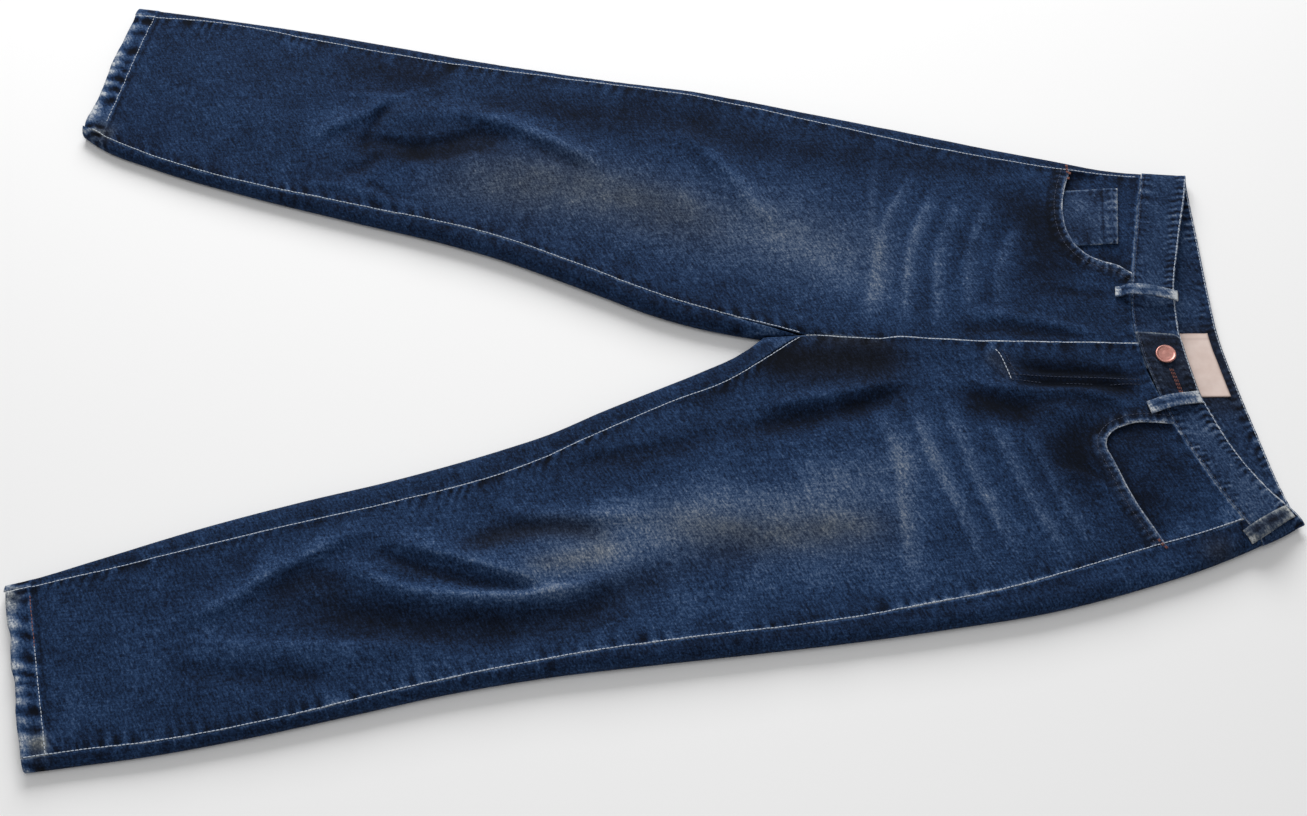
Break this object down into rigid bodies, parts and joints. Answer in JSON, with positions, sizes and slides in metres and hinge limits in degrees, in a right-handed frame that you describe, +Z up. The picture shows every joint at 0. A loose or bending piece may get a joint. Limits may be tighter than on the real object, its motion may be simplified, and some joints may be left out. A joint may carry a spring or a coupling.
{
  "type": "jeans",
  "caption": "Pair of straight denim jeans laid out flat with the front upwards, with a waistband, belt loops, curved front pockets, a coin pocket and a tack button.",
  "frame": {"origin": "under the middle of the garment's bounding box, on the surface it lies on", "axes": "+X from the hems to the waist, +Y to the wearer's right side, +Z up out of the front"},
  "size_m": [1.0644, 0.7672, 0.0281],
  "materials": {
    "denim": "matt indigo twill, worn pale over the thighs and seams",
    "copper": "satin copper",
    "label_cloth": "matt woven cotton"
  },
  "bodies": {
    "root": {"front_right": "denim", "front_left": "denim", "back_right": "denim", "back_left": "denim", "yoke_right": "denim", "yoke_left": "denim", "waistband": "denim", "pocket_facing_right": "denim", "pocket_facing_left": "denim", "coin_pocket": "denim", "back_pocket_right": "denim", "back_pocket_left": "denim", "belt_loop_front_right": "denim", "belt_loop_front_left": "denim", "belt_loop_side_left": "denim", "belt_loop_side_right": "denim", "belt_loop_back": "denim", "waist_button": "copper", "waist_label": "label_cloth"}
  },
  "joints": []
}
